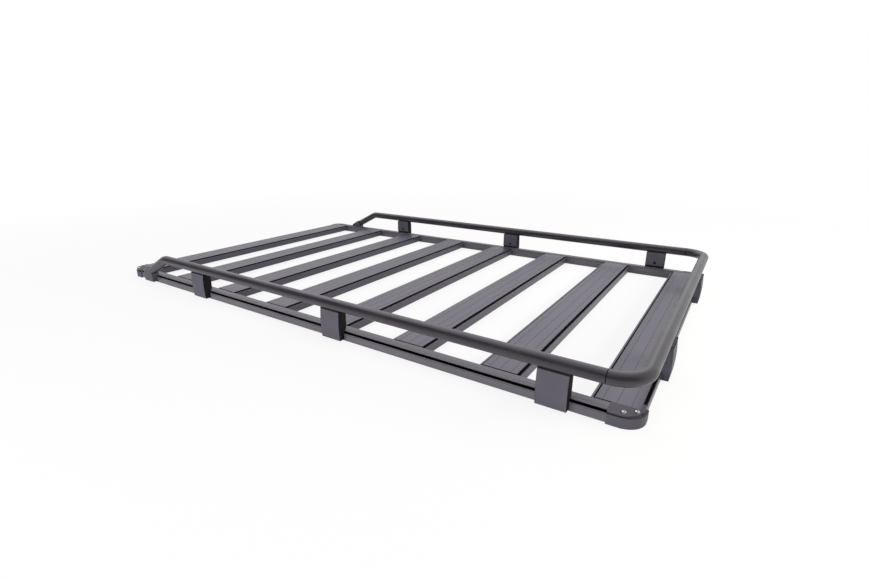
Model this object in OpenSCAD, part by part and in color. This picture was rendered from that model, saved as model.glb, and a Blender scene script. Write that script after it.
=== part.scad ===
// Flat platform roof rack: cross slats between two side beams, cast corners,
// and a tube guard rail on three sides, open at the rear.
// Millimetres. +X is the front, +Y the left side, +Z up, Z = 0 under the corner castings.

/* [Platform] */
// Distance from one cross slat to the next
slat_pitch = 287; // [240:1:320]
// Width of the platform over the lips of the side beams
deck_w = 1281; // [1000:1:1500]

/* [Slats] */
// Width of a slat over its two lips
slat_w = 116; // [106:1:130]
// Height of a slat
slat_h = 28; // [26:0.5:32]
// Thickness of the top plate of a slat
plate_t = 3; // [2.5:0.1:4]
// Thickness of the walls of a slat
slat_wall = 2.5; // [1.8:0.1:3]
// How far the top plate stays back from the lip's outer face
plate_back = 10; // [8.5:0.1:11]
// Depth of the lip's top edge below the deck
lip_drop = 4.5; // [4:0.1:6]
// Thickness of the lip
lip_t = 5; // [3:0.1:6]
// Depth of the groove floor below the deck
groove_depth = 13; // [12:0.5:15]
// Width of the two hollow edge boxes of a slat
edge_box = 15; // [13:0.5:20]
// Number of fine lines along the top plate
line_count = 3; // [1:2:5]
// Distance from one fine line to the next
line_pitch = 31; // [15:0.5:38]
// Width of a fine line
line_w = 1.2; // [0.6:0.1:2]
// Depth of a fine line
line_depth = 0.6; // [0.3:0.1:1]

/* [Underside channel of a slat] */
// Width of the channel's mouth
channel_mouth = 9; // [8:0.5:12]
// Width inside the channel
channel_w = 16; // [14:0.5:22]
// Depth inside the channel, from the top plate down to the hooks
channel_depth = 9.5; // [8:0.5:11]

/* [Side beams] */
// Width of a side beam
beam_w = 36; // [32:0.5:44]
// Height of a side beam
beam_h = 34; // [33:0.5:42]
// Wall thickness of a side beam
beam_wall = 3; // [2:0.1:4]
// Width of the shadow rebate along the inner top edge of a side beam
rebate_w = 5; // [3:0.5:7]
// Depth of that rebate
rebate_depth = 4; // [2:0.5:6]
// Distance of the fine line on top of a side beam from the lip's face
beam_line_in = 11; // [7:0.5:20]

/* [Outer slot, on the side beams and on the first and last slat] */
// Thickness of the top plate over the slot
slot_roof = 4.5; // [4:0.1:6]
// Height of the slot's mouth
slot_mouth = 6; // [5:0.1:8]
// Height inside the slot
slot_h = 10; // [9:0.1:12]
// Depth of the slot from the lip's outer face
slot_depth = 13; // [10:0.5:16]
// How far the top plate of a side beam stays back from the lip
roof_back = 4; // [3:0.5:6]
// How far the top plate of the first and last slat stays back from the lip
end_back = 8; // [6:0.5:9]
// Thickness of the lip below the slot's mouth
slot_lip = 3; // [2:0.1:3.5]
// Depth and height of the fine line along the lip
lip_line = 0.8; // [0.4:0.1:1.2]

/* [Corner castings] */
// Length of a corner casting along the side beam
corner_l = 76; // [68:1:90]
// Length of the arm that runs from the side beam along the first or last slat
corner_arm = 26.5; // [15:0.5:40]
// How far a casting stands proud of the end slat's lip
end_proud = 6; // [4:0.5:7]
// How far a casting stands proud of the side beam's lip
side_proud = 3; // [1:0.5:4]
// How far a casting reaches below the side beams
corner_drop = 2; // [1:0.5:4]
// Plan radius of the rounded corner
corner_r = 50; // [30:1:56]
// Depth, inside the lips, of the groove that carries the slot round the corner
corner_groove = 4; // [3:0.5:5]

/* [Guard rail] */
// Outer diameter of the rail tube
tube_d = 34; // [30:0.5:38]
// Wall thickness of the rail tube
tube_wall = 2; // [1.5:0.1:3]
// Height of the tube's axis above the deck
rail_h = 81; // [70:1:120]
// How far the side tube's axis lies outside the side beam's lip
rail_out = 8.5; // [6:0.5:10]
// How far the front tube's axis lies inside the front slat's lip
front_rail_in = 3.2; // [0:0.1:4]
// Bend radius of the two front corners, at the tube's axis
front_bend_r = 72; // [60:1:110]
// Bend radius at the rear end of a side rail, at the tube's axis
rear_bend_r = 60; // [45:1:80]
// Slope of the rear end of a side rail, in degrees
rear_slope = 27; // [25:1:34]
// Distance from the platform's rear lip to where the rear bend starts
rear_bend_in = 327; // [305:0.5:345]
// Width of the seam between the front rail and a side rail
seam_w = 1.5; // [1:0.1:3]
// Depth of that seam
seam_depth = 1; // [0.5:0.1:1.2]

/* [Rail brackets] */
// Width of a bracket along the rail
bracket_w = 75; // [60:1:90]
// Distance of the front side bracket from the front lip, the middle bracket stands halfway to the rear one
front_bracket_in = 190; // [150:1:230]
// Distance of the rear side bracket from the rear lip
rear_bracket_in = 543; // [420:1:600]
// Distance of a front bracket from the middle of the platform
front_bracket_y = 342; // [200:1:450]
// How far a side bracket's inner face lies inside the lip's outer face
bracket_in = 12; // [11:0.5:13]
// How far a front bracket's inner face lies inside the lip's outer face
nose_in = 16; // [14:0.5:18]
// How far the bracket's outer face stands outside the lip's outer face
bracket_out = 20.5; // [18:0.5:24]
// Radius of the convex outer face
bracket_face_r = 400; // [250:10:800]
// Height of the bracket above the deck on its inner side
bracket_top = 66; // [64.5:0.5:68]
// Depth of the bracket's skirt below the deck
bracket_skirt = 30; // [24:0.5:33]
// Height of the bevel at the foot of the inner face
bracket_bevel = 12; // [8:0.5:16]
// Width of the bevel at the foot of the inner face
bracket_bevel_w = 3; // [1:0.5:5]
// Height of the bolt recess above the deck
recess_h = 20; // [16:0.5:30]
// Diameter of the bolt recess
recess_d = 12; // [10:0.5:16]
// Depth of the bolt recess
recess_depth = 6; // [4:0.5:10]

/* [Rear rail feet] */
// Height of the foot's rear end above the deck
foot_low = 6; // [4:0.5:16]
// Length of the foot along the beam
foot_l = 63; // [50:1:80]
// Length of the spigot that enters the tube
spigot_l = 30; // [20:1:40]

/* [Fits] */
// Clearance between a bracket and what it hooks over or carries
seat_gap = 0.3; // [0.2:0.05:0.4]

/* [Hidden] */
slat_count = 8;
$fn = 96;
face_fn = 480;
cut = 1;
face_x = slat_pitch * (slat_count - 1) / 2 + slat_w / 2;
face_y = deck_w / 2;
slat_l = deck_w - 2 * beam_w;
beam_half_l = face_x + end_proud - corner_l;
deck_z = beam_h + corner_drop;
tube_r = tube_d / 2;
bore_r = tube_r - tube_wall;
rail_x = face_x - front_rail_in;
rail_y = face_y + rail_out;
rail_z = deck_z + rail_h;
front_joint_x = rail_x - front_bend_r;
rear_bend_start = -face_x + rear_bend_in;
rear_tangent = rear_bend_r * tan(rear_slope / 2);
rear_bend_x = rear_bend_start - rear_tangent;
// The platform's middle lies behind the middle of the whole part, because the front brackets stand out
front_reach = max(rail_x + tube_r, face_x + bracket_out, face_x + end_proud);
deck_cx = -(front_reach - face_x - end_proud) / 2;
// The sloping end of the side rail stops where its underside is this far above the deck
foot_lift = 3.7;
foot_joint_z = foot_lift + tube_r * cos(rear_slope);
slope_l = (rail_h - foot_joint_z) / sin(rear_slope);
foot_joint_x = rear_bend_x - slope_l * cos(rear_slope);
foot_front_x = foot_joint_x + tube_r * sin(rear_slope);
foot_rear_x = foot_front_x - foot_l;
front_bracket_x = face_x - front_bracket_in;
rear_bracket_x = -face_x + rear_bracket_in;
satin_black = "#2b2b2d";
deck_black = "#333436";
cast_black = "#262628";

// A box given by two opposite corners, in a plane
module span(x0, x1, y0, y1) {
    translate([x0, y0]) square([x1 - x0, y1 - y0]);
}

// One long edge of a slat with the narrow accessory groove, deck at y = 0, slat centre at x = 0
module groove_edge() {
    half = slat_w / 2;
    web_x = half - edge_box;
    plate_x = half - plate_back;
    bevel = plate_t / 4;
    polygon([
        [-cut, -plate_t], [plate_x, -plate_t], [plate_x, -bevel], [plate_x - bevel, 0], [-cut, 0]
    ]);
    span(web_x, web_x + slat_wall, -slat_h, -plate_t / 2);
    span(web_x, half, -groove_depth - slat_wall, -groove_depth);
    span(web_x, half, -slat_h, -slat_h + slat_wall);
    span(half - slat_wall, half, -slat_h, -groove_depth);
    span(half - lip_t, half, -groove_depth - slat_wall, -lip_drop);
}

// The outer slot profile shared by the beams and the end slats: what is cut away, face at x = 0, deck at y = 0
module slot_cut(back) {
    mouth_low = -slot_roof - slot_mouth;
    span(-back, cut, mouth_low, cut);
    span(-slot_depth, cut, mouth_low, -slot_roof);
    span(-slot_depth, -slot_lip, -slot_roof - slot_h, -slot_roof);
    line_y = mouth_low - slot_lip - lip_line;
    span(-lip_line, cut, line_y, line_y + lip_line);
}

// One long edge of an end slat with the wide outer slot
module slot_edge() {
    half = slat_w / 2;
    web_x = half - slot_depth - slat_wall;
    floor_y = -slot_roof - slot_h;
    difference() {
        union() {
            span(-cut, half, -plate_t, 0);
            span(web_x, half, floor_y - slat_wall, 0);
            span(web_x, web_x + slat_wall, -slat_h, 0);
            span(half - slot_lip, half, -beam_h, 0);
            span(web_x, half, -slat_h, -slat_h + slat_wall);
        }
        translate([half, 0]) slot_cut(end_back);
    }
}

// Hooks that form the channel under the middle of a slat
module underside_channel() {
    hook_low = -plate_t - channel_depth - slat_wall;
    for (side = [0, 1]) mirror([side, 0]) {
        span(channel_w / 2, channel_w / 2 + slat_wall, hook_low, -plate_t / 2);
        span(channel_mouth / 2, channel_w / 2 + slat_wall, hook_low, hook_low + slat_wall);
    }
}

// Fine lines along the top of a slat
module top_lines() {
    for (i = [0 : line_count - 1]) {
        line_x = (i - (line_count - 1) / 2) * line_pitch;
        translate([line_x - line_w / 2, -line_depth]) square([line_w, line_depth + cut]);
    }
}

// Cross-section of a slat; end = 1 gives the front slat, end = -1 the rear one, 0 one between
module slat_section(end) {
    difference() {
        union() {
            if (end == 1) slot_edge();
            else groove_edge();
            mirror([1, 0]) {
                if (end == -1) slot_edge();
                else groove_edge();
            }
            underside_channel();
        }
        top_lines();
    }
}

module slat(index) {
    end = index == 1 ? -1 : (index == slat_count ? 1 : 0);
    slat_x = (index - (slat_count + 1) / 2) * slat_pitch;
    color(deck_black)
        translate([deck_cx + slat_x, slat_l / 2, deck_z])
            rotate([90, 0, 0]) linear_extrude(slat_l) slat_section(end);
}

// Cross-section of a side beam, outer lip at x = 0, deck at y = 0
module beam_section() {
    roof_low = -slot_roof - slot_h;
    difference() {
        union() {
            span(-beam_w, 0, -beam_h, -rebate_depth);
            span(-beam_w + rebate_w, 0, -beam_h, 0);
        }
        slot_cut(roof_back);
        span(-beam_line_in - line_w / 2, -beam_line_in + line_w / 2, -line_depth, cut);
        span(-beam_w + beam_wall, -beam_wall, -beam_h + beam_wall, roof_low - beam_wall);
        span(-beam_w + beam_wall, -slot_depth - beam_wall, roof_low - 2 * beam_wall, -rebate_depth - beam_wall);
    }
}

module side_beam() {
    color(satin_black)
        translate([deck_cx - beam_half_l, face_y, deck_z])
            rotate([90, 0, 90]) linear_extrude(2 * beam_half_l) beam_section();
}

// Plan of a corner casting; its arm beside the end slat starts arm_in inside the lip
module corner_plan(inset_x, inset_y, arm_in) {
    reach_x = face_x + end_proud - inset_x;
    reach_y = face_y + side_proud - inset_y;
    round_r = corner_r - (inset_x + inset_y) / 2;
    inner_y = slat_l / 2;
    difference() {
        union() {
            span(beam_half_l, reach_x, inner_y, reach_y);
            span(face_x - arm_in, reach_x, inner_y - corner_arm, inner_y + cut);
        }
        difference() {
            span(reach_x - round_r, reach_x + cut, reach_y - round_r, reach_y + cut);
            translate([reach_x - round_r, reach_y - round_r]) circle(r = round_r);
        }
    }
}

module corner() {
    groove_low = deck_z - slot_roof - slot_mouth;
    color(cast_black) translate([deck_cx, 0, 0]) {
        linear_extrude(groove_low) corner_plan(0, 0, 0);
        translate([0, 0, groove_low]) linear_extrude(slot_mouth)
            corner_plan(end_proud + corner_groove, side_proud + corner_groove, end_back);
        translate([0, 0, groove_low + slot_mouth]) linear_extrude(slot_roof)
            corner_plan(end_proud, side_proud, end_back);
    }
}

// The rear corners are the front ones turned round the middle of the platform
module rear_corner() {
    translate([2 * deck_cx, 0, 0]) mirror([1, 0, 0]) corner();
}

// Ring section of the rail tube
module tube_ring() {
    difference() {
        circle(r = tube_r);
        circle(r = bore_r);
    }
}

module straight_tube(length) {
    linear_extrude(length) tube_ring();
}

// A bend in the XY plane, centred on the origin, from angle 0 onwards
module tube_bend(bend_r, angle) {
    rotate_extrude(angle = angle, $fn = 192) translate([bend_r, 0]) tube_ring();
}

module side_rail() {
    color(satin_black) translate([deck_cx, rail_y, rail_z]) {
        run = front_joint_x - seam_w - rear_bend_start;
        translate([front_joint_x - seam_w, 0, 0]) rotate([0, -90, 0]) straight_tube(run);
        translate([rear_bend_start, 0, -rear_bend_r])
            rotate([90, 0, 0]) rotate([0, 0, 90]) tube_bend(rear_bend_r, rear_slope);
        translate([rear_bend_x, 0, 0])
            rotate([0, -90 - rear_slope, 0])
                translate([0, 0, rear_tangent]) straight_tube(slope_l - rear_tangent);
    }
}

// The thinner end of the front rail that shows as a seam in front of a side rail
module seam_ring() {
    rotate([0, -90, 0]) linear_extrude(seam_w) difference() {
        circle(r = tube_r - seam_depth);
        circle(r = bore_r);
    }
}

module front_rail() {
    straight = 2 * (rail_y - front_bend_r);
    color(satin_black) translate([deck_cx, 0, rail_z]) {
        translate([rail_x, straight / 2, 0]) rotate([90, 0, 0]) straight_tube(straight);
        translate([front_joint_x, rail_y - front_bend_r, 0]) tube_bend(front_bend_r, 90);
        translate([front_joint_x, -rail_y + front_bend_r, 0])
            rotate([0, 0, -90]) tube_bend(front_bend_r, 90);
        for (side = [-1, 1]) translate([front_joint_x, side * rail_y, 0]) seam_ring();
    }
}

// Side outline of a bracket: x outwards from the lip's face, y up from the deck
module bracket_outline(top, reach_in, back) {
    lip_top = -slot_roof - slot_mouth;
    intersection() {
        polygon([
            [-reach_in, top], [-reach_in, bracket_bevel], [-reach_in + bracket_bevel_w, 0],
            [-back + seat_gap, 0], [-back + seat_gap, lip_top + seat_gap],
            [seat_gap, lip_top + seat_gap], [seat_gap, -bracket_skirt],
            [bracket_out, -bracket_skirt], [bracket_out, top]
        ]);
        translate([bracket_out - bracket_face_r, bracket_bevel])
            circle(r = bracket_face_r, $fn = face_fn);
    }
}

// A bracket that runs along X, its lip face at y = 0 and the deck at z = 0, the tube tube_out outside the lip
module bracket(reach_in, back, tube_out) {
    color(cast_black) difference() {
        translate([-bracket_w / 2, 0, 0]) rotate([90, 0, 90])
            linear_extrude(bracket_w) difference() {
                bracket_outline(bracket_top, reach_in, back);
                translate([tube_out, rail_h]) circle(r = tube_r + seat_gap);
            }
        translate([0, -reach_in - cut, recess_h]) rotate([-90, 0, 0])
            cylinder(d = recess_d, h = recess_depth + cut);
    }
}

module side_bracket(bracket_x) {
    translate([deck_cx + bracket_x, face_y, deck_z]) bracket(bracket_in, roof_back, rail_out);
}

module nose_bracket(side) {
    translate([deck_cx + face_x, side * front_bracket_y, deck_z])
        rotate([0, 0, -90]) bracket(nose_in, end_back, -front_rail_in);
}

// Foot that takes the sloping rear end of a side rail down to the beam
module rail_foot() {
    rise = foot_joint_z + tube_r * cos(rear_slope);
    back_x = foot_joint_x - tube_r * sin(rear_slope);
    color(cast_black) translate([deck_cx, face_y, deck_z]) {
        intersection() {
            translate([foot_rear_x, 0, 0]) rotate([90, 0, 90])
                linear_extrude(foot_l) bracket_outline(rise, bracket_in, roof_back);
            translate([0, bracket_out + cut, 0]) rotate([90, 0, 0])
                linear_extrude(bracket_in + bracket_out + 2 * cut) polygon([
                    [foot_rear_x, -bracket_skirt], [foot_front_x, -bracket_skirt],
                    [foot_front_x, foot_lift], [back_x, rise], [foot_rear_x, foot_low]
                ]);
        }
        translate([foot_joint_x, rail_out, foot_joint_z]) rotate([0, 90 - rear_slope, 0])
            translate([0, 0, -cut]) cylinder(r = bore_r - seat_gap, h = spigot_l + cut);
    }
}

module left_side() {
    children();
}

module right_side() {
    mirror([0, 1, 0]) children();
}

slat(1);  // rear_slat
slat(2);  // slat_2
slat(3);  // slat_3
slat(4);  // slat_4
slat(5);  // slat_5
slat(6);  // slat_6
slat(7);  // slat_7
slat(slat_count);  // front_slat
left_side() side_beam();  // left_side_beam
right_side() side_beam();  // right_side_beam
left_side() corner();  // front_left_corner
right_side() corner();  // front_right_corner
left_side() rear_corner();  // rear_left_corner
right_side() rear_corner();  // rear_right_corner
left_side() side_rail();  // left_rail
right_side() side_rail();  // right_rail
front_rail();
left_side() side_bracket(rear_bracket_x);  // left_rear_bracket
left_side() side_bracket((front_bracket_x + rear_bracket_x) / 2);  // left_middle_bracket
left_side() side_bracket(front_bracket_x);  // left_front_bracket
right_side() side_bracket(rear_bracket_x);  // right_rear_bracket
right_side() side_bracket((front_bracket_x + rear_bracket_x) / 2);  // right_middle_bracket
right_side() side_bracket(front_bracket_x);  // right_front_bracket
nose_bracket(1);  // nose_left_bracket
nose_bracket(-1);  // nose_right_bracket
left_side() rail_foot();  // left_rail_foot
right_side() rail_foot();  // right_rail_foot
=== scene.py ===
"""Flat platform roof rack: finishes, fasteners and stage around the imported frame."""

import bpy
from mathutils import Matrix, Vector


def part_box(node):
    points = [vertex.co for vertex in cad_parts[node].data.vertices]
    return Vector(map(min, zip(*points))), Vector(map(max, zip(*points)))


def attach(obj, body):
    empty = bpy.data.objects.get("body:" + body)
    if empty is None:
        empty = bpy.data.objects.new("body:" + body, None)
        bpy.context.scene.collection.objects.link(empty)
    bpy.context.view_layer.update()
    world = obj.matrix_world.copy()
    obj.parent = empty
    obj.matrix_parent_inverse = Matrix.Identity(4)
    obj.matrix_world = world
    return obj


bl_info = {
    "name": "Platform Roof Rack",
    "version": (1, 0, 0),
    "blender": (4, 5, 0),
    "location": "3D View > Sidebar > Roof Rack",
    "description": "Finishes, fasteners and a studio stage for a flat platform roof rack",
    "category": "Object",
}

import math

import bmesh
import bpy
from bpy.props import FloatProperty, FloatVectorProperty, PointerProperty
from mathutils import Matrix, Vector

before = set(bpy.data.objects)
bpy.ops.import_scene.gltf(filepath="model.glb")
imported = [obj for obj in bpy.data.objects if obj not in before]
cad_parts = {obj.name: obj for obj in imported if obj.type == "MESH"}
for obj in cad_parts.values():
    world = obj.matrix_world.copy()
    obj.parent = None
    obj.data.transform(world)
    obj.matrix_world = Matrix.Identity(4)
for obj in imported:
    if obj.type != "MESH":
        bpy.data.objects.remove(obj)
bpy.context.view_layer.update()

MM = 0.001
ROOT = "root"
UP = Vector((0.0, 0.0, 1.0))
WHITE = (1.0, 1.0, 1.0, 1.0)
UNSTRETCHED = (1.0, 1.0, 1.0)
NOISE_LOW = 0.3
NOISE_HIGH = 0.7
TUBE_CREASE = 30
PIECE_CREASE = 35

SLATS = ("rear_slat", *(f"slat_{number}" for number in range(2, 8)), "front_slat")
BEAMS = ("left_side_beam", "right_side_beam")
CORNERS = ("front_left_corner", "front_right_corner", "rear_left_corner", "rear_right_corner")
RAILS = ("left_rail", "right_rail", "front_rail")
SIDE_BRACKETS = (
    "left_rear_bracket",
    "left_middle_bracket",
    "left_front_bracket",
    "right_rear_bracket",
    "right_middle_bracket",
    "right_front_bracket",
)
NOSE_BRACKETS = ("nose_left_bracket", "nose_right_bracket")
FEET = ("left_rail_foot", "right_rail_foot")


# Sizes and colours that a user would change


class RackFinish(bpy.types.PropertyGroup):
    """Colours and gloss of the coated metal."""

    deck_colour: FloatVectorProperty(
        name="Deck colour",
        description="Base colour of the slats",
        subtype="COLOR",
        size=3,
        min=0.0,
        max=1.0,
        default=(0.047, 0.042, 0.062),
    )
    beam_colour: FloatVectorProperty(
        name="Beam colour",
        description="Base colour of the side beams",
        subtype="COLOR",
        size=3,
        min=0.0,
        max=1.0,
        default=(0.086, 0.082, 0.094),
    )
    rail_colour: FloatVectorProperty(
        name="Rail colour",
        description="Base colour of the tube rail",
        subtype="COLOR",
        size=3,
        min=0.0,
        max=1.0,
        default=(0.021, 0.018, 0.023),
    )
    cast_colour: FloatVectorProperty(
        name="Casting colour",
        description="Base colour of brackets, feet and corner castings",
        subtype="COLOR",
        size=3,
        min=0.0,
        max=1.0,
        default=(0.07, 0.067, 0.081),
    )
    deck_roughness: FloatProperty(
        name="Deck roughness",
        description="Roughness of the slats",
        subtype="FACTOR",
        min=0.0,
        max=1.0,
        default=0.4,
    )
    coat_roughness: FloatProperty(
        name="Coat roughness",
        description="Roughness of the side beams",
        subtype="FACTOR",
        min=0.0,
        max=1.0,
        default=0.42,
    )
    cast_roughness: FloatProperty(
        name="Casting roughness",
        description="Roughness of the castings, brackets and feet",
        subtype="FACTOR",
        min=0.0,
        max=1.0,
        default=0.5,
    )
    rail_roughness: FloatProperty(
        name="Rail roughness",
        description="Roughness of the tube rail",
        subtype="FACTOR",
        min=0.0,
        max=1.0,
        default=0.34,
    )


class RackFasteners(bpy.types.PropertyGroup):
    """Sizes of the screws and bolts."""

    corner_head: FloatProperty(
        name="Corner screw head",
        description="Diameter of the button heads in the corner castings",
        unit="LENGTH",
        default=10.5 * MM,
    )
    corner_head_height: FloatProperty(
        name="Corner screw head height",
        description="Height of the button heads in the corner castings",
        unit="LENGTH",
        default=3.0 * MM,
    )
    bracket_head: FloatProperty(
        name="Bracket bolt head",
        description="Diameter of the bolt heads in the bracket recesses",
        unit="LENGTH",
        default=10.0 * MM,
    )
    bracket_head_height: FloatProperty(
        name="Bracket bolt head height",
        description="Height of the bolt heads in the bracket recesses",
        unit="LENGTH",
        default=5.0 * MM,
    )


class RackStage(bpy.types.PropertyGroup):
    """Camera, lamps and floor."""

    camera_place: FloatVectorProperty(
        name="Camera place",
        description="Where the camera stands",
        subtype="TRANSLATION",
        unit="LENGTH",
        size=3,
        default=(1.1602, -1.5839, 0.6052),
    )
    camera_shift: FloatVectorProperty(
        name="Camera shift",
        description="Sideways and upward shift of the picture, as a share of its width",
        size=2,
        default=(-0.000575, 0.000575),
    )
    camera_azimuth: FloatProperty(
        name="Camera azimuth",
        description="Turn of the camera about the vertical",
        subtype="ANGLE",
        default=math.radians(33.33),
    )
    camera_elevation: FloatProperty(
        name="Camera elevation",
        description="Angle at which the camera looks down",
        subtype="ANGLE",
        default=math.radians(18.63),
    )
    camera_lens: FloatProperty(
        name="Camera lens",
        description="Focal length for a sensor 36 mm wide",
        subtype="DISTANCE_CAMERA",
        default=19.447,
    )
    world_level: FloatProperty(
        name="World level",
        description="Strength of the even light from all round",
        default=0.16,
    )
    key_power: FloatProperty(
        name="Overhead lamp",
        description="Power of the overhead soft light",
        subtype="POWER",
        default=112.0,
    )
    side_power: FloatProperty(
        name="Side lamp",
        description="Power of the soft light on the camera's left",
        subtype="POWER",
        default=120.0,
    )
    front_power: FloatProperty(
        name="Front lamp",
        description="Power of the low soft light ahead of the rack",
        subtype="POWER",
        default=85.0,
    )


# Node helpers


def cleared_tree(holder, output_type):
    """The emptied node tree of a material or a world, and its new output node."""
    holder.use_nodes = True
    tree = holder.node_tree
    tree.nodes.clear()
    return tree, tree.nodes.new(output_type)


def calculate(tree, operation, *values):
    """The result of a Math node on sockets and plain numbers."""
    node = tree.nodes.new("ShaderNodeMath")
    node.operation = operation
    for place, value in zip(node.inputs, values):
        if isinstance(value, bpy.types.NodeSocket):
            tree.links.new(value, place)
        else:
            place.default_value = value
    return node.outputs["Value"]


def product(tree, values):
    """The product of several values."""
    result = values[0]
    for value in values[1:]:
        result = calculate(tree, "MULTIPLY", result, value)
    return result


def ranged(tree, value, from_low, from_high, to_low, to_high):
    """A value mapped from one range onto another, and held at its ends."""
    node = tree.nodes.new("ShaderNodeMapRange")
    node.inputs["From Min"].default_value = from_low
    node.inputs["From Max"].default_value = from_high
    node.inputs["To Min"].default_value = to_low
    node.inputs["To Max"].default_value = to_high
    tree.links.new(value, node.inputs["Value"])
    return node.outputs["Result"]


def split_place(tree, coordinates):
    """The X, Y and Z of a point on the rack."""
    split = tree.nodes.new("ShaderNodeSeparateXYZ")
    tree.links.new(coordinates.outputs["Object"], split.inputs["Vector"])
    return split.outputs["X"], split.outputs["Y"], split.outputs["Z"]


def noise(tree, coordinates, stretch, scale, detail):
    """A noise pattern on Object coordinates, stretched along the axes."""
    mapping = tree.nodes.new("ShaderNodeMapping")
    mapping.inputs["Scale"].default_value = stretch
    pattern = tree.nodes.new("ShaderNodeTexNoise")
    pattern.inputs["Scale"].default_value = scale
    pattern.inputs["Detail"].default_value = detail
    tree.links.new(coordinates.outputs["Object"], mapping.inputs["Vector"])
    tree.links.new(mapping.outputs["Vector"], pattern.inputs["Vector"])
    return pattern.outputs["Fac"]


def ramp_between(tree, pattern, low, high):
    """The range that most of a noise pattern's values lie in, mapped onto low to high."""
    return ranged(tree, pattern, NOISE_LOW, NOISE_HIGH, low, high)


def tint_between(tree, pattern, colour, spread):
    """A colour that varies round a base colour with a noise pattern."""
    node = tree.nodes.new("ShaderNodeValToRGB")
    ends = ((NOISE_LOW, 1.0 - spread), (NOISE_HIGH, 1.0 + spread))
    for element, (position, level) in zip(node.color_ramp.elements, ends):
        element.position = position
        element.color = (*[channel * level for channel in colour], 1.0)
    tree.links.new(pattern, node.inputs["Fac"])
    return node.outputs["Color"]


# Masks for the painted shade inside the grooves and slots, and in the tube seam


def slat_groove_painted_shade(tree, coordinates):
    """1 inside the grooves of the slats, where shade is painted, found from the distance to the
    nearest slat's middle.
    """
    below_top = 1.5 * MM
    inner_wall = 13.2 * MM
    # Painted shade: it reaches nearer the front lip than the rear lip, whose top is left lit
    front_lip = 2 * MM
    rear_lip = 5 * MM
    low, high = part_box("rear_slat")
    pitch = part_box("slat_2")[0].x - low.x
    middle = (low.x + high.x) / 2
    half = (high.x - low.x) / 2
    x, _, z = split_place(tree, coordinates)
    shift = calculate(tree, "SUBTRACT", x, middle)
    across = calculate(tree, "WRAP", shift, pitch / 2, -pitch / 2)
    below = calculate(tree, "LESS_THAN", z, high.z - below_top)
    ahead = product(
        tree,
        [
            calculate(tree, "GREATER_THAN", across, half - inner_wall),
            calculate(tree, "LESS_THAN", across, half - front_lip),
            below,
        ],
    )
    behind = product(
        tree,
        [
            calculate(tree, "LESS_THAN", across, inner_wall - half),
            calculate(tree, "GREATER_THAN", across, rear_lip - half),
            below,
        ],
    )
    return calculate(tree, "ADD", ahead, behind)


def beam_slot_painted_shade(tree, coordinates):
    """1 inside the outer slots of the side beams, where shade is painted."""
    inner_wall = 13.2 * MM
    outer_lip = 0.6 * MM
    floor = 14.8 * MM
    ceiling = 4.3 * MM
    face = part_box("left_side_beam")[1]
    _, y, z = split_place(tree, coordinates)
    away = calculate(tree, "ABSOLUTE", y)
    return product(
        tree,
        [
            calculate(tree, "GREATER_THAN", away, face.y - inner_wall),
            calculate(tree, "LESS_THAN", away, face.y - outer_lip),
            calculate(tree, "GREATER_THAN", z, face.z - floor),
            calculate(tree, "LESS_THAN", z, face.z - ceiling),
        ],
    )


def seam_painted_shade(tree, coordinates):
    """1 in the narrow ring where the front tube meets the side tubes, where shade is painted."""
    behind = 0.5 * MM
    ahead = 1.8 * MM
    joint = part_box("front_rail")[0].x
    x, _, _ = split_place(tree, coordinates)
    return product(
        tree,
        [
            calculate(tree, "GREATER_THAN", x, joint - behind),
            calculate(tree, "LESS_THAN", x, joint + ahead),
        ],
    )


def paint_shade(tree, shader, mask):
    """Paints shade: takes most of the colour and gloss away where the mask is 1."""
    # The painted shade's near-black colour and matt roughness
    shaded = (
        (shader.inputs["Base Color"], "RGBA", (0.002, 0.002, 0.0025, 1.0)),
        (shader.inputs["Roughness"], "FLOAT", 0.95),
    )
    for place, kind, value in shaded:
        mix = tree.nodes.new("ShaderNodeMix")
        mix.data_type = kind
        tree.links.new(mask, mix.inputs["Factor"])
        tree.links.new(place.links[0].from_socket, mix.inputs["A"])
        mix.inputs["B"].default_value = value
        tree.links.new(mix.outputs["Result"], place)


# Materials


def empty_material(name):
    """A new material, its node tree, its Texture Coordinate node and its Principled shader."""
    material = bpy.data.materials.new(name)
    tree, output = cleared_tree(material, "ShaderNodeOutputMaterial")
    coordinates = tree.nodes.new("ShaderNodeTexCoord")
    shader = tree.nodes.new("ShaderNodeBsdfPrincipled")
    tree.links.new(shader.outputs["BSDF"], output.inputs["Surface"])
    return material, tree, coordinates, shader


def powder_coat(name, colour, roughness, specular, stretch, painted_shade_of=None):
    """Coated metal with fine grain, slow variation along the metal and softened edges."""
    edge_radius = 0.7 * MM
    grain_depth = 0.04 * MM
    gloss_spread = 0.04
    material, tree, coordinates, shader = empty_material(name)
    slow = noise(tree, coordinates, stretch, scale=6.0, detail=4.0)
    grain = noise(tree, coordinates, UNSTRETCHED, scale=900.0, detail=2.0)
    tint = tint_between(tree, slow, colour, spread=0.12)
    gloss = ramp_between(tree, slow, roughness - gloss_spread, roughness + gloss_spread)
    tree.links.new(tint, shader.inputs["Base Color"])
    tree.links.new(gloss, shader.inputs["Roughness"])
    shader.inputs["Specular IOR Level"].default_value = specular
    soft_edge = tree.nodes.new("ShaderNodeBevel")
    soft_edge.samples = 4
    soft_edge.inputs["Radius"].default_value = edge_radius
    bump = tree.nodes.new("ShaderNodeBump")
    bump.inputs["Strength"].default_value = 0.35
    bump.inputs["Distance"].default_value = grain_depth
    tree.links.new(grain, bump.inputs["Height"])
    tree.links.new(soft_edge.outputs["Normal"], bump.inputs["Normal"])
    tree.links.new(bump.outputs["Normal"], shader.inputs["Normal"])
    # Painted shade in the recesses that the mask finds
    if painted_shade_of:
        paint_shade(tree, shader, painted_shade_of(tree, coordinates))
    return material


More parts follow.
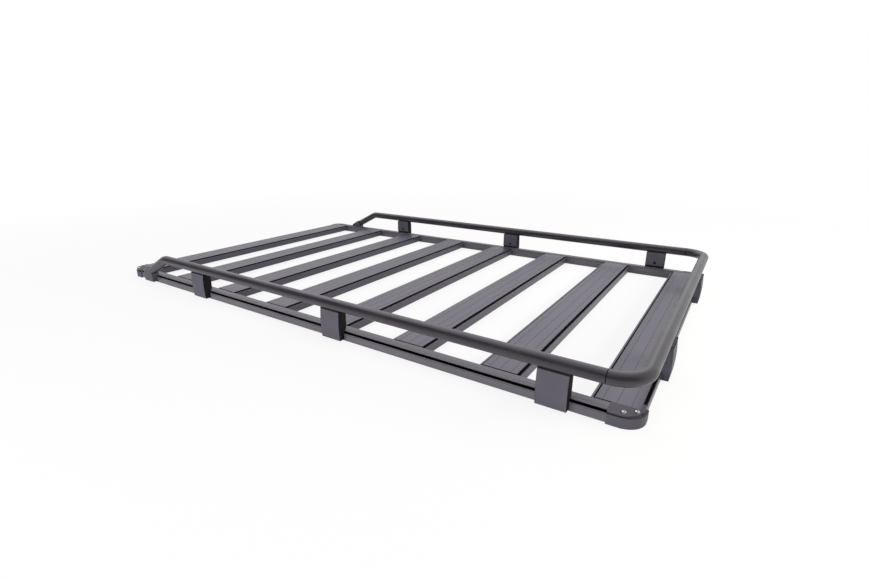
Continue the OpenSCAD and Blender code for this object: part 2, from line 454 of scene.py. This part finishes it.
def rubber_and_painted_shade(name):
    """Matt black rubber, also laid as painted shade at the bracket feet and in the bracket ends.
    """
    material, tree, coordinates, shader = empty_material(name)
    mottle = noise(tree, coordinates, UNSTRETCHED, scale=60.0, detail=3.0)
    tint = tint_between(tree, mottle, colour=(0.008, 0.008, 0.008), spread=0.2)
    tree.links.new(tint, shader.inputs["Base Color"])
    tree.links.new(ramp_between(tree, mottle, low=0.75, high=0.9), shader.inputs["Roughness"])
    shader.inputs["Specular IOR Level"].default_value = 0.2
    return material


def steel(name, colour, roughness, metallic=1.0):
    """Turned fastener metal with fine scratches."""
    material, tree, coordinates, shader = empty_material(name)
    scratches = noise(tree, coordinates, stretch=(1.0, 5.0, 1.0), scale=500.0, detail=3.0)
    tint = tint_between(tree, scratches, colour, spread=0.08)
    gloss = ramp_between(tree, scratches, low=roughness - 0.06, high=roughness + 0.08)
    tree.links.new(tint, shader.inputs["Base Color"])
    tree.links.new(gloss, shader.inputs["Roughness"])
    shader.inputs["Metallic"].default_value = metallic
    return material


def clothe(node_names, material):
    """Gives CAD nodes a finish."""
    for name in node_names:
        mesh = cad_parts[name].data
        mesh.materials.clear()
        mesh.materials.append(material)


# Mesh helpers


def new_object(name, data):
    """A new object in the scene, at the origin."""
    result = bpy.data.objects.new(name, data)
    bpy.context.scene.collection.objects.link(result)
    return result


def finished_mesh(name, shape, material):
    """A finished bmesh made a mesh with its material."""
    mesh = bpy.data.meshes.new(name)
    shape.to_mesh(mesh)
    shape.free()
    mesh.materials.append(material)
    return mesh


def smooth(mesh, crease):
    """Smooth shading, but for edges that turn by more than crease degrees."""
    mesh.shade_smooth()
    mesh.set_sharp_from_angle(angle=math.radians(crease))


def add_piece(name, shape, material):
    """Makes a finished bmesh a piece that rides on the rack."""
    bmesh.ops.recalc_face_normals(shape, faces=shape.faces)
    mesh = finished_mesh(name, shape, material)
    smooth(mesh, PIECE_CREASE)
    piece = new_object(name, mesh)
    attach(piece, ROOT)


def only_verts(elements):
    """The vertices among the results of a bmesh operator."""
    return [element for element in elements if isinstance(element, bmesh.types.BMVert)]


def merged(shapes):
    """One bmesh holding all of them."""
    whole = bmesh.new()
    for shape in shapes:
        scratch = bpy.data.meshes.new("scratch")
        shape.to_mesh(scratch)
        shape.free()
        whole.from_mesh(scratch)
        bpy.data.meshes.remove(scratch)
    return whole


def facing(place, direction):
    """A matrix that puts local +Z along direction at place."""
    turn = UP.rotation_difference(Vector(direction)).to_matrix().to_4x4()
    return Matrix.Translation(place) @ turn


def revolve(shape, outline, steps):
    """Spins an outline of (radius, height) about the local Z axis."""
    points = [shape.verts.new((radius, 0.0, height)) for radius, height in outline]
    edges = [shape.edges.new(pair) for pair in zip(points[:-1], points[1:])]
    bmesh.ops.spin(
        shape,
        geom=points + edges,
        cent=(0.0, 0.0, 0.0),
        axis=UP,
        angle=math.tau,
        steps=steps,
        use_merge=True,
        use_duplicate=False,
    )
    bmesh.ops.remove_doubles(shape, verts=shape.verts, dist=0.00001 * MM)


def button_head(head, height, place, direction, turn=0.0):
    """A domed screw head with a hexagon socket, standing on place."""
    radius = head / 2
    socket_radius = 4 * MM / math.sqrt(3)
    socket_depth = 0.6 * height
    socket_edge = 0.93 * height
    foot_share = 0.96
    rim_level = 0.12
    dome_steps = 7
    dome_share = 0.72
    outline = [(radius * foot_share, 0.0), (radius, height * rim_level)]
    for step in range(1, dome_steps):
        angle = math.radians(90 * step / dome_steps)
        level = rim_level + (1 - rim_level) * math.sin(angle)
        outline.append((radius * math.cos(angle * dome_share), height * level))
    for mouth_share, level in ((1.18, 1.0), (1.06, 0.97)):
        outline.append((socket_radius * mouth_share, height * level))
    shape = bmesh.new()
    revolve(shape, outline, steps=36)

    # The socket's hexagon is bridged to the round mouth, sunk and closed
    mouth = [edge for edge in shape.edges if edge.is_boundary and edge.verts[0].co.z > height / 2]
    hexagon = bmesh.ops.create_circle(shape, cap_ends=False, segments=6, radius=socket_radius)
    bmesh.ops.translate(shape, verts=hexagon["verts"], vec=UP * socket_edge)
    socket = list(dict.fromkeys(edge for vert in hexagon["verts"] for edge in vert.link_edges))
    bmesh.ops.bridge_loops(shape, edges=mouth + socket)
    sides = bmesh.ops.extrude_edge_only(shape, edges=socket)["geom"]
    bmesh.ops.translate(shape, verts=only_verts(sides), vec=-UP * socket_depth)
    floor = [element for element in sides if isinstance(element, bmesh.types.BMEdge)]
    bmesh.ops.contextual_create(shape, geom=floor)
    base = [edge for edge in shape.edges if edge.is_boundary]
    bmesh.ops.contextual_create(shape, geom=base)

    spin = Matrix.Rotation(turn, 4, "Z")
    bmesh.ops.transform(shape, verts=shape.verts, matrix=facing(place, direction) @ spin)
    return shape


# Operators for the pieces


class RACK_OT_finish_frame(bpy.types.Operator):
    """Give every CAD piece of the rack its coated finish."""

    bl_idname = "rack.finish_frame"
    bl_label = "Finish the Frame"

    def execute(self, context):
        look = context.scene.rack_finish
        deck = powder_coat(
            "deck_coat",
            look.deck_colour,
            look.deck_roughness,
            specular=0.5,
            stretch=(6.0, 0.5, 6.0),
            painted_shade_of=slat_groove_painted_shade,
        )
        beam = powder_coat(
            "beam_coat",
            look.beam_colour,
            look.coat_roughness,
            specular=0.3,
            stretch=(0.5, 6.0, 6.0),
            painted_shade_of=beam_slot_painted_shade,
        )
        rail = powder_coat(
            "rail_coat",
            look.rail_colour,
            look.rail_roughness,
            specular=0.5,
            stretch=(2.0, 2.0, 2.0),
            painted_shade_of=seam_painted_shade,
        )
        cast = powder_coat(
            "cast_coat",
            look.cast_colour,
            look.cast_roughness,
            specular=0.1,
            stretch=(2.0, 2.0, 2.0),
        )
        clothe(SLATS, deck)
        clothe(BEAMS, beam)
        clothe(RAILS, rail)
        clothe(CORNERS + SIDE_BRACKETS + NOSE_BRACKETS + FEET, cast)
        for name in RAILS:
            smooth(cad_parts[name].data, TUBE_CREASE)
        return {"FINISHED"}


class RACK_OT_corner_screws(bpy.types.Operator):
    """Add the two bright screws in the top of each corner casting."""

    bl_idname = "rack.corner_screws"
    bl_label = "Corner Screws"

    def execute(self, context):
        sizes = context.scene.rack_fasteners
        finish = steel("screw_steel", (0.62, 0.62, 0.6), 0.3)
        end_proud = 6 * MM
        side_proud = 3 * MM
        top_radius = 45.5 * MM
        screw_ring = top_radius - 5.3 * MM
        screw_angles = (math.radians(76.4), math.radians(34.0))
        for name in CORNERS:
            low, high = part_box(name)
            front = 1 if "front" in name else -1
            side = 1 if "left" in name else -1
            outer_x = high.x if front > 0 else low.x
            outer_y = high.y if side > 0 else low.y
            centre = Vector(
                (
                    outer_x - front * (end_proud + top_radius),
                    outer_y - side * (side_proud + top_radius),
                    high.z,
                )
            )
            heads = []
            for angle in screw_angles:
                reach = Vector((front * math.cos(angle), side * math.sin(angle), 0.0))
                heads.append(
                    button_head(
                        sizes.corner_head,
                        sizes.corner_head_height,
                        centre + reach * screw_ring,
                        UP,
                        angle,
                    )
                )
            add_piece(f"{name}_screws", merged(heads), finish)
        return {"FINISHED"}


class RACK_OT_bracket_bolts(bpy.types.Operator):
    """Add the clamping bolt on the inner face of each rail bracket."""

    bl_idname = "rack.bracket_bolts"
    bl_label = "Bracket Bolts"

    def execute(self, context):
        sizes = context.scene.rack_fasteners
        finish = steel("bolt_black", (0.03, 0.03, 0.032), 0.35, metallic=0.6)
        recess_height = 56 * MM
        recess_depth = 6 * MM
        for name in SIDE_BRACKETS + NOSE_BRACKETS:
            low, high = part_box(name)
            middle = (low + high) / 2
            if name in NOSE_BRACKETS:
                outward = Vector((1, 0, 0))
                inner = Vector((low.x, middle.y, recess_height))
            else:
                side = 1 if name.startswith("left") else -1
                outward = Vector((0, side, 0))
                inner = Vector((middle.x, low.y if side > 0 else high.y, recess_height))
            head = button_head(
                sizes.bracket_head,
                sizes.bracket_head_height,
                inner + outward * recess_depth,
                -outward,
            )
            add_piece(f"{name}_bolt", head, finish)
        return {"FINISHED"}


def outer_face(height):
    """How far a bracket's convex outer face lies outside the lip, at a height above the deck."""
    reach = 20.5 * MM
    radius = 400 * MM
    level = 12 * MM
    return reach - radius + math.sqrt(radius**2 - (height - level) ** 2)


def bracket_strip(name, outline):
    """A strip along a bracket, from (distance outside the lip, height above the deck); the strip
    under the tube is rubber, the one at the foot is painted shade.
    """
    end_gap = 0.6 * MM
    rounding = 0.25 * MM
    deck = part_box("front_slat")[1].z
    low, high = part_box(name)
    middle = (low + high) / 2
    nose = name in NOSE_BRACKETS
    side = 1 if name.startswith("left") else -1
    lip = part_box("front_slat")[1].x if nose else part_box("left_side_beam")[1].y
    half = (high.y - low.y if nose else high.x - low.x) / 2 - end_gap
    shape = bmesh.new()
    profile = []
    for out, up in outline:
        if nose:
            place = (lip + out, middle.y - half, deck + up)
        else:
            place = (middle.x - half, side * (lip + out), deck + up)
        profile.append(shape.verts.new(place))
    section = shape.faces.new(profile)
    along = Vector((0.0, 2 * half, 0.0)) if nose else Vector((2 * half, 0.0, 0.0))
    far = bmesh.ops.extrude_face_region(shape, geom=[section], use_keep_orig=True)["geom"]
    bmesh.ops.translate(shape, verts=only_verts(far), vec=along)
    bmesh.ops.recalc_face_normals(shape, faces=shape.faces)
    bmesh.ops.bevel(
        shape,
        geom=shape.edges,
        offset=rounding,
        affect="EDGES",
        segments=2,
        profile=0.5,
        material=-1,
    )
    return shape


class RACK_OT_bracket_liners(bpy.types.Operator):
    """Add the rubber edge under the tube of each bracket, and a strip of painted shade at the
    foot of its inner side.
    """

    bl_idname = "rack.bracket_liners"
    bl_label = "Bracket Liners"

    def execute(self, context):
        finish = rubber_and_painted_shade("strip_rubber_and_painted_shade")
        tucked_in = 0.6 * MM
        under_tube = (
            (outer_face(61 * MM) - tucked_in, 61 * MM),
            (outer_face(61 * MM) + 0.9 * MM, 61.3 * MM),
            (outer_face(65 * MM) + 1.1 * MM, 65.2 * MM),
            (outer_face(65.5 * MM) - tucked_in, 65.8 * MM),
        )
        thickness = 1 * MM
        lift = 0.3 * MM
        height = 7 * MM
        for name in SIDE_BRACKETS + NOSE_BRACKETS:
            reach_in = 16 * MM if name in NOSE_BRACKETS else 12 * MM
            foot = 2.3 * MM - reach_in
            head = 0.65 * MM - reach_in
            # Painted shade: a dark strip in the bevel at the foot of the inner side
            painted_foot_shade = (
                (foot, lift),
                (foot + thickness, lift),
                (head + thickness, height),
                (head, height),
            )
            strips = [bracket_strip(name, under_tube), bracket_strip(name, painted_foot_shade)]
            # Each piece holds the rubber strip under the tube and the painted shade at the foot
            add_piece(f"{name}_liner", merged(strips), finish)
        return {"FINISHED"}


def end_shade_panel(node, axis, sign):
    """A thin plate of painted shade inset in the flat end of a CAD node, found in a merged copy
    of its mesh.
    """
    margin = 1.2 * MM
    proud = 0.3 * MM
    flat_enough = 0.99
    level_slack = 0.05 * MM
    shape = bmesh.new()
    shape.from_mesh(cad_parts[node].data)
    bmesh.ops.remove_doubles(shape, verts=shape.verts, dist=0.001 * MM)
    shape.normal_update()
    low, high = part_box(node)
    level = high[axis] if sign > 0 else low[axis]
    others = [
        face
        for face in shape.faces
        if face.normal[axis] * sign < flat_enough
        or abs(face.calc_center_median()[axis] - level) > level_slack
    ]
    bmesh.ops.delete(shape, geom=others, context="FACES")
    bmesh.ops.dissolve_limit(
        shape, angle_limit=math.radians(1), verts=shape.verts, edges=shape.edges
    )
    rim = bmesh.ops.inset_region(
        shape, faces=shape.faces, thickness=margin, use_even_offset=True
    )
    bmesh.ops.delete(shape, geom=rim["faces"], context="FACES")
    out = Vector((0.0, 0.0, 0.0))
    out[axis] = sign * proud
    bmesh.ops.translate(shape, verts=shape.verts, vec=out)
    inner = bmesh.ops.extrude_face_region(shape, geom=shape.faces[:], use_keep_orig=True)["geom"]
    bmesh.ops.translate(shape, verts=only_verts(inner), vec=-2 * out)
    return shape


class RACK_OT_bracket_ends(bpy.types.Operator):
    """Add dark plates of painted shade in both ends of each side bracket."""

    bl_idname = "rack.bracket_ends"
    bl_label = "Bracket Ends"

    def execute(self, context):
        finish = rubber_and_painted_shade("end_painted_shade")
        for name in SIDE_BRACKETS:
            plates = [end_shade_panel(name, 0, sign) for sign in (-1, 1)]
            add_piece(f"{name}_ends", merged(plates), finish)
        return {"FINISHED"}


# Stage


def add_camera(stage):
    """The camera at the photograph's place, turned and shifted as its picture is."""
    data = bpy.data.cameras.new("photo_camera")
    data.sensor_width = 36.0
    data.lens = stage.camera_lens
    data.shift_x, data.shift_y = stage.camera_shift
    data.clip_end = 200.0
    camera = new_object("photo_camera", data)
    camera.location = stage.camera_place
    camera.rotation_euler = (
        math.radians(90) - stage.camera_elevation,
        0.0,
        stage.camera_azimuth,
    )
    bpy.context.scene.camera = camera


def add_lamp(name, power, size, place, target, colour):
    """A rectangular soft light aimed at a point."""
    data = bpy.data.lights.new(name, "AREA")
    data.shape = "RECTANGLE"
    data.size, data.size_y = size
    data.energy = power
    data.color = colour
    lamp = new_object(name, data)
    lamp.location = place
    aim = Vector(target) - Vector(place)
    lamp.rotation_euler = aim.to_track_quat("-Z", "Y").to_euler()
    return lamp


def seen_ray(tree):
    """1 for rays that see the background directly, in gloss or through glass."""
    rays = tree.nodes.new("ShaderNodeLightPath").outputs
    seen = rays["Is Camera Ray"]
    for kind in ("Is Glossy Ray", "Is Transmission Ray"):
        seen = calculate(tree, "MAXIMUM", seen, rays[kind])
    return seen


def light_world(level):
    """Even light from all round, white where it is seen."""
    world = bpy.data.worlds.new("studio_world")
    tree, output = cleared_tree(world, "ShaderNodeOutputWorld")
    mix = tree.nodes.new("ShaderNodeMixShader")
    tree.links.new(seen_ray(tree), mix.inputs[0])
    for place, strength in ((mix.inputs[1], level), (mix.inputs[2], 1.0)):
        light = tree.nodes.new("ShaderNodeBackground")
        light.inputs["Color"].default_value = WHITE
        light.inputs["Strength"].default_value = strength
        tree.links.new(light.outputs[0], place)
    tree.links.new(mix.outputs[0], output.inputs["Surface"])
    bpy.context.scene.world = world


def floor_material():
    """Pale matt that reads as white where it is seen, but for the shadow near the rack."""
    near_white = 0.86
    material = bpy.data.materials.new("pale_floor")
    tree, output = cleared_tree(material, "ShaderNodeOutputMaterial")
    matt = tree.nodes.new("ShaderNodeBsdfDiffuse")
    matt.inputs["Color"].default_value = (0.85, 0.85, 0.85, 1.0)
    white = tree.nodes.new("ShaderNodeEmission")
    white.inputs["Color"].default_value = WHITE
    coordinates = tree.nodes.new("ShaderNodeTexCoord")
    distance = tree.nodes.new("ShaderNodeVectorMath")
    distance.operation = "LENGTH"
    tree.links.new(coordinates.outputs["Object"], distance.inputs[0])
    fade = ranged(tree, distance.outputs["Value"], 1.0, 3.5, near_white, 1.0)
    share = calculate(tree, "MULTIPLY", seen_ray(tree), fade)
    mix = tree.nodes.new("ShaderNodeMixShader")
    tree.links.new(share, mix.inputs[0])
    tree.links.new(matt.outputs[0], mix.inputs[1])
    tree.links.new(white.outputs[0], mix.inputs[2])
    tree.links.new(mix.outputs[0], output.inputs["Surface"])
    return material


def lay_floor():
    """A pale floor that keeps the rack's shadow, just under the castings."""
    drop = 0.3 * MM
    half_width = 30.0
    shape = bmesh.new()
    bmesh.ops.create_grid(shape, x_segments=1, y_segments=1, size=half_width)
    bmesh.ops.translate(shape, verts=shape.verts, vec=-UP * drop)
    floor = new_object("floor", finished_mesh("floor", shape, floor_material()))


def flag_material():
    """Matt black, as dark as the studio behind the camera."""
    material = bpy.data.materials.new("flag_black")
    tree, output = cleared_tree(material, "ShaderNodeOutputMaterial")
    matt = tree.nodes.new("ShaderNodeBsdfDiffuse")
    matt.inputs["Color"].default_value = (0.02, 0.02, 0.02, 1.0)
    tree.links.new(matt.outputs[0], output.inputs["Surface"])
    return material


def stand_flag():
    """A curved board behind the camera that only gloss reflects."""
    radius = 4.8
    foot_height = 0.05
    head_height = 5.6
    shape = bmesh.new()
    foot = shape.verts.new((radius, 0.0, foot_height))
    head = shape.verts.new((radius, 0.0, head_height))
    edge = shape.edges.new((foot, head))
    start = Matrix.Rotation(math.radians(-160), 3, "Z")
    bmesh.ops.rotate(shape, verts=shape.verts, cent=(0.0, 0.0, 0.0), matrix=start)
    bmesh.ops.spin(
        shape,
        geom=[foot, head, edge],
        cent=(0.0, 0.0, 0.0),
        axis=UP,
        angle=math.radians(150),
        steps=30,
        use_duplicate=False,
    )
    flag = new_object("camera_flag", finished_mesh("camera_flag", shape, flag_material()))
    flag.visible_camera = False
    flag.visible_diffuse = False
    flag.visible_shadow = False


class RACK_OT_stage(bpy.types.Operator):
    """Set up the camera, the soft lamps, the world and the pale floor."""

    bl_idname = "rack.stage"
    bl_label = "Studio Stage"

    def execute(self, context):
        stage = context.scene.rack_stage
        context.scene.view_settings.view_transform = "Standard"
        add_camera(stage)
        add_lamp(
            "overhead_lamp",
            stage.key_power,
            size=(6.0, 5.0),
            place=(-1.0, 1.4, 3.0),
            target=(-0.3, 0.3, 0.0),
            colour=(0.97, 0.94, 1.07),
        )
        side = add_lamp(
            "side_lamp",
            stage.side_power,
            size=(3.2, 0.8),
            place=(0.1, -3.4, 0.5),
            target=(0.2, 0.0, 0.05),
            colour=(1.0, 0.98, 1.02),
        )
        front = add_lamp(
            "front_lamp",
            stage.front_power,
            size=(2.4, 0.6),
            place=(2.9, 0.6, 1.3),
            target=(-0.2, 0.0, 0.02),
            colour=(1.0, 0.98, 0.84),
        )
        # Gloss would show the low lamps as bright bars on the tube
        side.visible_glossy = False
        front.visible_glossy = False
        light_world(stage.world_level)
        lay_floor()
        stand_flag()
        return {"FINISHED"}


OPERATORS = (
    RACK_OT_finish_frame,
    RACK_OT_corner_screws,
    RACK_OT_bracket_bolts,
    RACK_OT_bracket_liners,
    RACK_OT_bracket_ends,
    RACK_OT_stage,
)


class RACK_PT_panel(bpy.types.Panel):
    """Lists the rack's sizes and steps."""

    bl_label = "Roof Rack"
    bl_idname = "RACK_PT_panel"
    bl_space_type = "VIEW_3D"
    bl_region_type = "UI"
    bl_category = "Roof Rack"

    def draw(self, context):
        layout = self.layout
        for group in (
            context.scene.rack_finish,
            context.scene.rack_fasteners,
            context.scene.rack_stage,
        ):
            box = layout.box()
            for name in group.__annotations__:
                box.prop(group, name)
        for operator in OPERATORS:
            layout.operator(operator.bl_idname)


GROUPS = (
    ("rack_finish", RackFinish),
    ("rack_fasteners", RackFasteners),
    ("rack_stage", RackStage),
)


def register():
    for name, group in GROUPS:
        bpy.utils.register_class(group)
        setattr(bpy.types.Scene, name, PointerProperty(type=group))
    for operator in OPERATORS:
        bpy.utils.register_class(operator)
    bpy.utils.register_class(RACK_PT_panel)


def unregister():
    bpy.utils.unregister_class(RACK_PT_panel)
    for operator in reversed(OPERATORS):
        bpy.utils.unregister_class(operator)
    for name, group in reversed(GROUPS):
        delattr(bpy.types.Scene, name)
        bpy.utils.unregister_class(group)


def main():
    register()
    bpy.ops.rack.finish_frame()
    bpy.ops.rack.corner_screws()
    bpy.ops.rack.bracket_bolts()
    bpy.ops.rack.bracket_liners()
    bpy.ops.rack.bracket_ends()
    bpy.ops.rack.stage()


if __name__ == "__main__":
    main()
